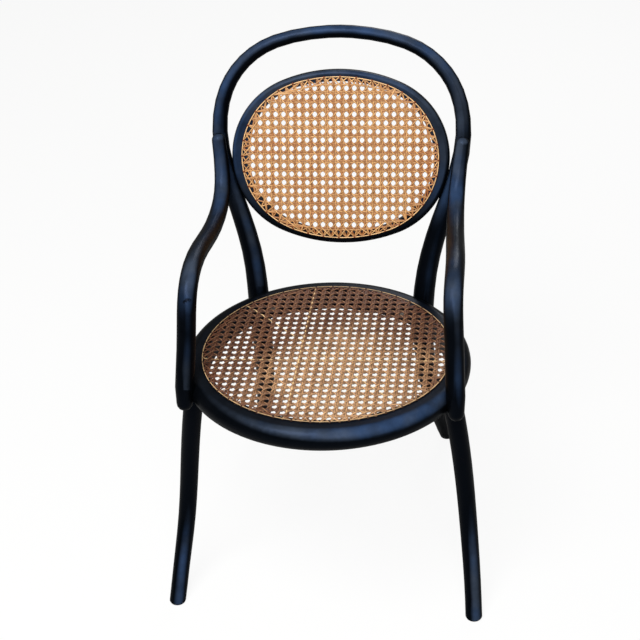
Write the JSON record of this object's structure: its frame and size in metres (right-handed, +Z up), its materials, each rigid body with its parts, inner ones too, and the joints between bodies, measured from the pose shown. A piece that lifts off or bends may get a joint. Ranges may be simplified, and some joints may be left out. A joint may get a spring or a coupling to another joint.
{
  "type": "bentwood armchair with caned seat and back",
  "caption": "Bentwood armchair: a bent hoop that runs down into the rear legs, an oval caned back panel, bent arms and a round caned seat, painted black",
  "frame": {"origin": "centre of the bounding box on the floor", "axes": "the front faces -Y, +Z is up, and +X is to the right as seen from the front; left and right in every name are as seen from the front"},
  "size_m": [0.571, 0.621, 0.907],
  "materials": {
    "black_paint": "bent beech under glossy black paint, a little worn",
    "golden_cane": "varnished rattan cane, golden tan",
    "brown_cane": "aged rattan cane, darker brown",
    "steel": "plain steel"
  },
  "bodies": {
    "root": {"back_hoop": "black_paint", "back_panel_ring": "black_paint", "back_cane": "golden_cane", "back_cane_binder": "golden_cane", "back_cane_ties": "golden_cane", "seat_ring": "black_paint", "seat_cane": "brown_cane", "seat_cane_binder": "brown_cane", "seat_cane_ties": "brown_cane", "front_leg_left": "black_paint", "front_leg_right": "black_paint", "arm_left": "black_paint", "arm_right": "black_paint", "arm_top_screws": "steel", "arm_foot_screws": "steel", "panel_screws": "steel", "hoop_bolts": "steel", "hoop_nuts": "steel"}
  },
  "joints": []
}
